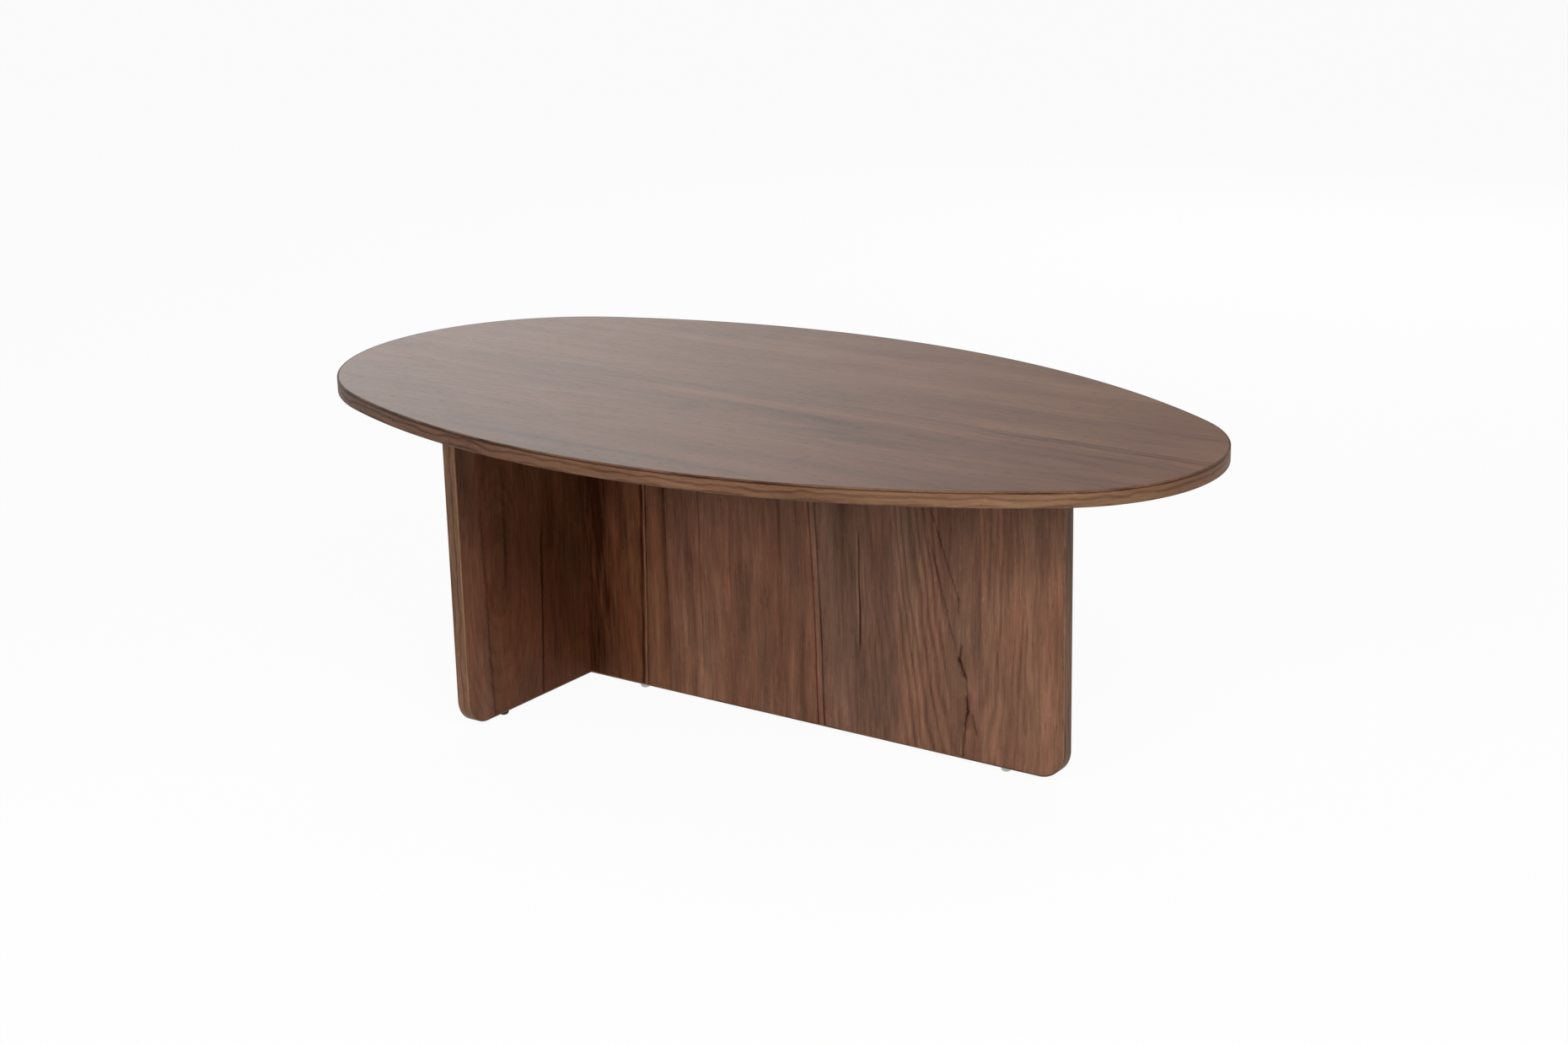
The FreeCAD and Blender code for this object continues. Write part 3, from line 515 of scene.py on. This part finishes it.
def cross_walnut():
    graph = Graph("walnut_cross")
    place = graph.coordinates()
    low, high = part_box("cross_panel")
    from_end = graph.math("SUBTRACT", place["Y"], low.y)
    # Painted shade: the leaves' warmth, shown on the inner face only, is deep red brown towards the corner
    # by the spine; partly wood tone as well
    inner_face_painted_shade = graph.smooth_step(place["X"], low.x, high.x)
    leaves = [
        Leaf(-0.1, 0, 0.062, 0, -0.068, 0.36, 0.0085, 0.25, -0.05),
        Leaf(0.044, -0.04, 0.062, 0, -0.068, 0.36, 0.0085, 0.25, -0.06, 0.33),
        Leaf(0.132, 0.045, 0.50, 0, 0.02, 0, 0.010, 0.2, -0.09, 0.5),
        Leaf(0.262, 0, 0.375, 0.03, 0.06, -0.15, 0.0095, 0.9, 0.0),
    ]
    streaks = [
        # Tones and lines of the front half, with the shaded corner by the spine
        Streak(0.062, 0, 0.020, 0.13, 0.25, -0.06),
        Streak(0.044, -0.04, 0.0020, -0.05, 0.26, -0.24, 0.008),
        Streak(0.074, 0, 0.0030, 0.17, 0.31, -0.16, 0.008),
        Streak(0.030, 0, 0.0120, -0.05, 0.11, 0.10),
        Streak(0.068, 0, 0.0120, -0.05, 0.16, -0.08),
        Streak(0.225, 0, 0.0600, -0.05, 0.055, 0.11),
        Streak(0.225, 0, 0.0700, 0.165, 0.5, -0.11),
        Streak(0.105, 0, 0.0450, -0.05, 0.45, -0.08),
        Streak(0.132, 0.045, 0.0016, -0.05, 0.22, -0.45, 0.004),
        Streak(0.012, 0, 0.014, -0.05, 0.45, 0.02),
        # Lines of the rear half
        Streak(0.262, 0, 0.0011, -0.1, 0.5, -0.4),
        Streak(0.330, 0, 0.0080, 0.02, 0.26, -0.2),
        Streak(0.420, 0, 0.0090, -0.1, 0.3, 0.15),
    ]
    walnut(graph, place["Z"], from_end, place["X"], leaves, streaks, CROSS_SHADED_LOOK, warmth_and_shade_share=inner_face_painted_shade)
    return graph.material


def edge_walnut():
    """The bands' grain follows their length: the band's own map holds its run and its width in metres."""
    graph = Graph("walnut_edging")
    place = graph.band_coordinates()
    swell = graph.noise(graph.scaled(place, EDGE_SWELL_NOISE))
    shift = graph.times(swell, EDGE_SWELL)
    leaves = [
        Leaf(-1.0, 0, -1.0, 0, 0.0, 0, EDGE_LINE_SPACING, 1.0, 0.1),
    ]
    low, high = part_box("top_edge_band")
    middle = (low.z + high.z) / 2
    spine_middle = 0.0
    streaks = [
        # Dark line below the top's upper edge
        Streak(high.z - EDGE_LINE_DROP, 0, 0.0009, -1.0, 4.0, -0.55, 0.002),
        # Tones along the top's band
        Streak(middle, 0, EDGE_TONE_WIDTH, 2.36, 2.66, 0.08),
        Streak(middle, 0, EDGE_TONE_WIDTH, 1.50, 1.95, -0.12),
        Streak(middle, 0, EDGE_TONE_WIDTH, 1.45, 1.86, -0.12),
        # Tone down the spine's free end
        Streak(spine_middle, 0, EDGE_TONE_WIDTH, -1.0, 0.36, 0.08),
    ]
    # Painted highlights: pale lines on the uprights' band arrises, kept to the runs that catch the light
    for node, axis in (("spine_edge_band", "y"), ("cross_edge_band", "x")):
        low, high = (getattr(corner, axis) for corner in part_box(node))
        for arris in (low + BAND_ROUND / 2, high - BAND_ROUND / 2):
            for start, end in ARRIS_HIGHLIGHT_RUNS:
                streaks.append(Streak(arris, 0, BAND_ROUND / 2, start, end, 0.6))
    walnut(graph, place["X"], place["Y"], place["Z"], leaves, streaks, EDGE_LOOK, shift)
    return graph.material


# Metals, dowel wood and cap plastic: noise shapes to the metre, and how far they change the gloss
METAL_SPOTS = (700.0, 700.0, 700.0)
METAL_LINES = (900.0, 900.0, 4000.0)
BEECH_GRAIN = (500.0, 500.0, 500.0)
CAP_GRAIN = (1800.0, 1800.0, 1800.0)
SPOT_ROUGHNESS = 0.25
LINE_ROUGHNESS = 0.15
GRAIN_ROUGHNESS = 0.2


def brushed_metal(name, colour, roughness, wear):
    """A metal of the given colour, darkened in spots to the share that wear gives."""
    graph = Graph(name)
    place = graph.coordinates()
    spots = graph.noise(graph.scaled(place, METAL_SPOTS), 3.0, 0.6)
    lines = graph.noise(graph.scaled(place, METAL_LINES))
    graph.set("Metallic", 1.0)
    graph.set("Base Color", graph.ramp(graph.scaled_sum(spots, 1.0, 0.5), [
        (0.2, tuple(channel * wear for channel in colour[:3]) + (1.0,)), (0.7, colour),
    ]))
    brushed = graph.scaled_sum(lines, LINE_ROUGHNESS, roughness)
    graph.set("Roughness", graph.scaled_sum(spots, SPOT_ROUGHNESS, brushed))
    graph.bump(lines, strength=0.15, distance=0.00005)
    return graph.material


def beech():
    graph = Graph("beech_dowel")
    place = graph.coordinates()
    grain = graph.noise(graph.scaled(place, BEECH_GRAIN), 4.0, 0.6)
    graph.set("Base Color", graph.ramp(graph.scaled_sum(grain, 1.5, 0.5), [
        (0.0, linear(168, 128, 92)), (0.5, linear(205, 166, 126)), (1.0, linear(222, 188, 150)),
    ]))
    graph.set("Roughness", graph.scaled_sum(grain, GRAIN_ROUGHNESS, 0.6))
    graph.bump(grain, strength=0.3, distance=0.0001)
    return graph.material


def cap_plastic():
    graph = Graph("cap_plastic")
    place = graph.coordinates()
    grain = graph.noise(graph.scaled(place, CAP_GRAIN))
    graph.set("Base Color", graph.ramp(graph.scaled_sum(grain, 1.0, 0.5), [
        (0.2, linear(74, 50, 39)), (0.8, linear(92, 64, 50)),
    ]))
    graph.set("Roughness", graph.scaled_sum(grain, GRAIN_ROUGHNESS, 0.55))
    graph.set("Specular IOR Level", 0.2)
    graph.bump(grain, strength=0.2, distance=0.00008)
    return graph.material


# Edge bands
PathPoint = namedtuple("PathPoint", "place outward run")


def side_arc_radius(length, width):
    """Radius of the egg's long side arcs, tangent inside to both end arcs, by halving."""
    half = width / 2

    def span(radius):
        broad = (half - BROAD_END_RADIUS) * (2 * radius - BROAD_END_RADIUS - half)
        tip = (half - TIP_RADIUS) * (2 * radius - TIP_RADIUS - half)
        return math.sqrt(broad) + math.sqrt(tip)

    low, high = half, WIDEST_ARC_LENGTHS * length
    wanted = length - BROAD_END_RADIUS - TIP_RADIUS
    for _ in range(HALVINGS):
        middle = (low + high) / 2
        if span(middle) < wanted:
            low = middle
        else:
            high = middle
    return (low + high) / 2


def egg_path(low, high):
    """Points round the top's egg outline, from the rear of the tip past the broad end and back."""
    half = (high.y - low.y) / 2
    radius = side_arc_radius(high.x - low.x, high.y - low.y)
    broad_x = low.x + BROAD_END_RADIUS
    tip_x = high.x - TIP_RADIUS
    drop = radius - half
    side_x = tip_x - math.sqrt((half - TIP_RADIUS) * (2 * radius - TIP_RADIUS - half))
    tip_turn = math.atan2(drop, tip_x - side_x)
    broad_turn = math.atan2(drop, broad_x - side_x)
    full = 2 * math.pi
    arcs = [
        (Vector((side_x, -drop)), radius, tip_turn, broad_turn),
        (Vector((broad_x, 0)), BROAD_END_RADIUS, broad_turn, full - broad_turn),
        (Vector((side_x, drop)), radius, full - broad_turn, full - tip_turn),
        (Vector((tip_x, 0)), TIP_RADIUS, full - tip_turn, full + tip_turn),
    ]
    points = []
    run = 0.0
    for centre, arc_radius, start, end in arcs:
        steps = math.ceil(arc_radius * (end - start) / OUTLINE_STEP)
        for step in range(steps):
            turn = start + (end - start) * step / steps
            outward = Vector((math.cos(turn), math.sin(turn)))
            place = centre + outward * arc_radius
            points.append(PathPoint(place, outward, run + arc_radius * (turn - start)))
        run += arc_radius * (end - start)
    return points, run


def corner_path(start, corner, end, run):
    """A straight run from start, then the quarter round at corner towards end."""
    into = (corner - start).normalized()
    away = (end - corner).normalized()
    straight = (corner - start).length - CORNER_RADIUS
    points = [PathPoint(start, -away, run)]
    centre = corner - into * CORNER_RADIUS + away * CORNER_RADIUS
    for step in range(CORNER_STEPS + 1):
        turn = math.pi / 2 * step / CORNER_STEPS
        outward = into * math.sin(turn) - away * math.cos(turn)
        place = centre + outward * CORNER_RADIUS
        points.append(PathPoint(place, outward, run + straight + CORNER_RADIUS * turn))
    return points, run + straight + CORNER_RADIUS * math.pi / 2


def upright_path(corners):
    """The way down one end, along the bottom and, with four corners, up the other end."""
    points = []
    run = 0.0
    start = corners[0]
    for corner, after in zip(corners[1:], corners[2:]):
        stretch, run = corner_path(start, corner, after, run)
        points += stretch
        start = stretch[-1].place
    last = points[-1]
    points.append(PathPoint(corners[-1], last.outward, run + (corners[-1] - last.place).length))
    return points


def band_section(low, high):
    """The band's cut: (depth, offset) pairs with the two outer arrises rounded."""
    section = [(BAND_THICKNESS, low)]
    for step in range(ROUND_STEPS + 1):
        turn = math.pi / 2 * step / ROUND_STEPS
        section.append((BAND_ROUND * (1 - math.sin(turn)), low + BAND_ROUND * (1 - math.cos(turn))))
    for step in range(ROUND_STEPS + 1):
        turn = math.pi / 2 * step / ROUND_STEPS
        section.append((BAND_ROUND * (1 - math.cos(turn)), high - BAND_ROUND * (1 - math.sin(turn))))
    section.append((BAND_THICKNESS, high))
    return section


def sweep_band(name, points, section, lift, whole_run=None):
    """A band mesh along a path; lift turns an outline point and an offset into a place in the frame.
    With whole_run the path is closed. The map holds each point's run and offset in metres."""
    mesh = bmesh.new()
    chart = mesh.loops.layers.uv.new(BAND_MAP)
    rings = []
    for point in points:
        ring = []
        for depth, offset in section:
            ring.append(mesh.verts.new(lift(point.place - point.outward * depth, offset)))
        rings.append(ring)
    runs = [point.run for point in points]
    if whole_run:
        rings.append(rings[0])
        runs.append(whole_run)
    count = len(section)
    for here, after, run, run_after in zip(rings, rings[1:], runs, runs[1:]):
        for index in range(count):
            beside = (index + 1) % count
            face = mesh.faces.new((here[index], here[beside], after[beside], after[index]))
            places = ((run, index), (run, beside), (run_after, beside), (run_after, index))
            for loop, (along, at) in zip(face.loops, places):
                loop[chart].uv = (along, section[at][1])
    if not whole_run:
        for ring, run in ((rings[0], runs[0]), (rings[-1], runs[-1])):
            face = mesh.faces.new(ring)
            for loop, (depth, offset) in zip(face.loops, section):
                loop[chart].uv = (run + depth, offset)
    bmesh.ops.recalc_face_normals(mesh, faces=mesh.faces)
    return finish_mesh(name, mesh)


def finish_mesh(name, mesh):
    """A linked object from a bmesh, smooth except at sharp edges."""
    data = bpy.data.meshes.new(name)
    mesh.to_mesh(data)
    mesh.free()
    data.shade_smooth()
    data.set_sharp_from_angle(angle=SHARP_ANGLE)
    piece = bpy.data.objects.new(name, data)
    bpy.context.scene.collection.objects.link(piece)
    return piece


def dress(piece, node, material):
    """Puts a new piece in a node's place and material, on the table's one body."""
    piece.data.materials.append(material)
    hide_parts(node)
    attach(piece, "root")


def make_bands(material):
    low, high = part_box("top_edge_band")
    points, run = egg_path(low, high)
    top = sweep_band(
        "top_band_wrap", points, band_section(low.z, high.z),
        lambda place, offset: (place.x, place.y, offset), run,
    )
    dress(top, "top_edge_band", material)

    low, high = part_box("spine_edge_band")
    corners = [Vector((high.x, high.z)), Vector((high.x, low.z)), Vector((low.x, low.z))]
    spine = sweep_band(
        "spine_band_wrap", upright_path(corners), band_section(low.y, high.y),
        lambda place, offset: (place.x, offset, place.y),
    )
    dress(spine, "spine_edge_band", material)

    low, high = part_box("cross_edge_band")
    corners = [
        Vector((low.y, high.z)), Vector((low.y, low.z)), Vector((high.y, low.z)), Vector((high.y, high.z)),
    ]
    cross = sweep_band(
        "cross_band_wrap", upright_path(corners), band_section(low.x, high.x),
        lambda place, offset: (offset, place.x, place.y),
    )
    dress(cross, "cross_edge_band", material)


# Glides
def glide_profile(radius, height):
    """(radius, height) pairs up a glide: flat contact, dome, rounded rim, flat seat."""
    contact = radius * GLIDE_CONTACT_SHARE
    shoulder = height - GLIDE_RIM
    profile = []
    for step in range(GLIDE_DOME_STEPS + 1):
        turn = math.pi / 2 * step / GLIDE_DOME_STEPS
        reach = contact + (radius - contact) * math.sin(turn)
        profile.append((reach, shoulder * (1 - math.cos(turn))))
    for step in range(ROUND_STEPS + 1):
        turn = math.pi / 2 * step / ROUND_STEPS
        reach = radius - GLIDE_RIM_ROUND * (1 - math.cos(turn))
        profile.append((reach, height - GLIDE_RIM_ROUND * (1 - math.sin(turn))))
    return profile


def make_glide(node, material):
    low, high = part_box(node)
    centre = (low + high) / 2
    radius = (high.x - low.x) / 2
    mesh = bmesh.new()
    rings = []
    for reach, height in glide_profile(radius, high.z - low.z):
        ring = []
        for step in range(GLIDE_TURNS):
            turn = 2 * math.pi * step / GLIDE_TURNS
            place = (centre.x + reach * math.cos(turn), centre.y + reach * math.sin(turn), low.z + height)
            ring.append(mesh.verts.new(place))
        rings.append(ring)
    for below, above in zip(rings, rings[1:]):
        for step in range(GLIDE_TURNS):
            beside = (step + 1) % GLIDE_TURNS
            mesh.faces.new((below[step], below[beside], above[beside], above[step]))
    mesh.faces.new(reversed(rings[0]))
    mesh.faces.new(rings[-1])
    glide = finish_mesh(node + "_dome", mesh)
    dress(glide, node, material)


def paint(node, material):
    """Gives a frame node another material."""
    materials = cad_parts[node].data.materials
    materials.clear()
    materials.append(material)


def dress_table():
    paint("table_top", top_walnut())
    paint("spine_panel", spine_walnut())
    paint("cross_panel", cross_walnut())
    make_bands(edge_walnut())
    nickel = brushed_metal("nickel_plate", linear(182, 179, 173), roughness=0.24, wear=0.75)
    dark_plate = brushed_metal("dark_plate", linear(60, 50, 44), roughness=0.4, wear=0.7)
    zinc = brushed_metal("zinc_alloy", linear(178, 180, 184), roughness=0.38, wear=0.7)
    wood = beech()
    plastic = cap_plastic()
    for node in sorted(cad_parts):
        if node.startswith("foot_cross"):
            make_glide(node, dark_plate)
        elif node.startswith("foot_"):
            make_glide(node, nickel)
        elif node.endswith("_nails"):
            paint(node, nickel)
        elif node.endswith("_dowels"):
            paint(node, wood)
        elif node.endswith("_caps"):
            paint(node, plastic)
        elif node.endswith(("_bolts", "_nuts")):
            paint(node, zinc)


# Studio
def make_floor():
    """A white floor that the camera sees near white, with the table's soft shadow on it."""
    mesh = bmesh.new()
    bmesh.ops.create_circle(mesh, cap_ends=True, radius=FLOOR_RADIUS, segments=FLOOR_RING_STEPS)
    floor = finish_mesh("floor", mesh)
    graph = Graph("floor_white")
    place = graph.coordinates()
    cloud = graph.noise(graph.vector(place["X"], place["Y"]))
    graph.set("Base Color", graph.ramp(graph.scaled_sum(cloud, 1.0, 0.5), [
        (0.0, linear(222, 222, 222)), (1.0, linear(228, 228, 228)),
    ]))
    graph.set("Roughness", 0.9)
    glow = graph.add("ShaderNodeEmission")
    glow.inputs["Strength"].default_value = FLOOR_GLOW
    path = graph.add("ShaderNodeLightPath")
    seen = graph.math("MAXIMUM", path.outputs["Is Camera Ray"], path.outputs["Is Glossy Ray"])
    seen = graph.math("MAXIMUM", seen, path.outputs["Is Transmission Ray"])
    mixed = graph.add("ShaderNodeMixShader")
    graph.feed(mixed.inputs["Fac"], graph.times(seen, FLOOR_WHITE_SHARE))
    graph.feed(mixed.inputs[1], graph.shader.outputs["BSDF"])
    graph.feed(mixed.inputs[2], glow.outputs["Emission"])
    graph.feed(graph.output.inputs["Surface"], mixed.outputs["Shader"])
    floor.data.materials.append(graph.material)


def make_world():
    """A room, dim in front, lighter at the back and the horizon and lightest at its left wall."""
    world = bpy.data.worlds.new("studio")
    world.use_nodes = True
    tree = world.node_tree
    background = tree.nodes["Background"]
    background.inputs["Color"].default_value = ROOM_COLOUR
    source = tree.nodes.new("ShaderNodeTexCoord")
    total = None
    for towards, first, last, low, high in ROOM_WALLS:
        facing = tree.nodes.new("ShaderNodeVectorMath")
        facing.operation = "DOT_PRODUCT"
        facing.inputs[1].default_value = Vector(towards).normalized()
        spread = tree.nodes.new("ShaderNodeMapRange")
        spread.interpolation_type = "SMOOTHSTEP"
        for name, value in (("From Min", first), ("From Max", last), ("To Min", low), ("To Max", high)):
            spread.inputs[name].default_value = value
        plus = tree.nodes.new("ShaderNodeMath")
        plus.inputs[1].default_value = 0.0
        tree.links.new(source.outputs["Generated"], facing.inputs[0])
        tree.links.new(facing.outputs["Value"], spread.inputs["Value"])
        tree.links.new(spread.outputs["Result"], plus.inputs[0])
        if total:
            tree.links.new(total, plus.inputs[1])
        total = plus.outputs["Value"]
    tree.links.new(total, background.inputs["Strength"])
    bpy.context.scene.world = world


def make_lamp(name, place, size, power):
    """A soft box that lights the table and isn't mirrored in it."""
    data = bpy.data.lights.new(name, "AREA")
    data.shape = "RECTANGLE"
    data.size, data.size_y = size
    data.energy = power
    lamp = bpy.data.objects.new(name, data)
    lamp.location = place
    lamp.rotation_euler = (LAMP_AIM - lamp.location).to_track_quat("-Z", "Y").to_euler()
    lamp.visible_glossy = False
    bpy.context.scene.collection.objects.link(lamp)


def make_camera():
    data = bpy.data.cameras.new("camera")
    data.sensor_fit = "HORIZONTAL"
    data.sensor_width = CAMERA_SENSOR
    data.lens = CAMERA_LENS
    data.shift_x, data.shift_y = CAMERA_SHIFT
    camera = bpy.data.objects.new("camera", data)
    turn = Matrix.Rotation(CAMERA_TURN, 4, "Z")
    tilt = Matrix.Rotation(CAMERA_TILT, 4, "X")
    roll = Matrix.Rotation(CAMERA_ROLL, 4, "Z")
    camera.matrix_world = Matrix.Translation(CAMERA_PLACE) @ turn @ tilt @ roll
    bpy.context.scene.collection.objects.link(camera)
    bpy.context.scene.camera = camera


def make_studio():
    make_floor()
    make_world()
    for lamp in LAMPS:
        make_lamp(*lamp)
    make_camera()
    bpy.context.scene.view_settings.view_transform = "Standard"


dress_table()
make_studio()
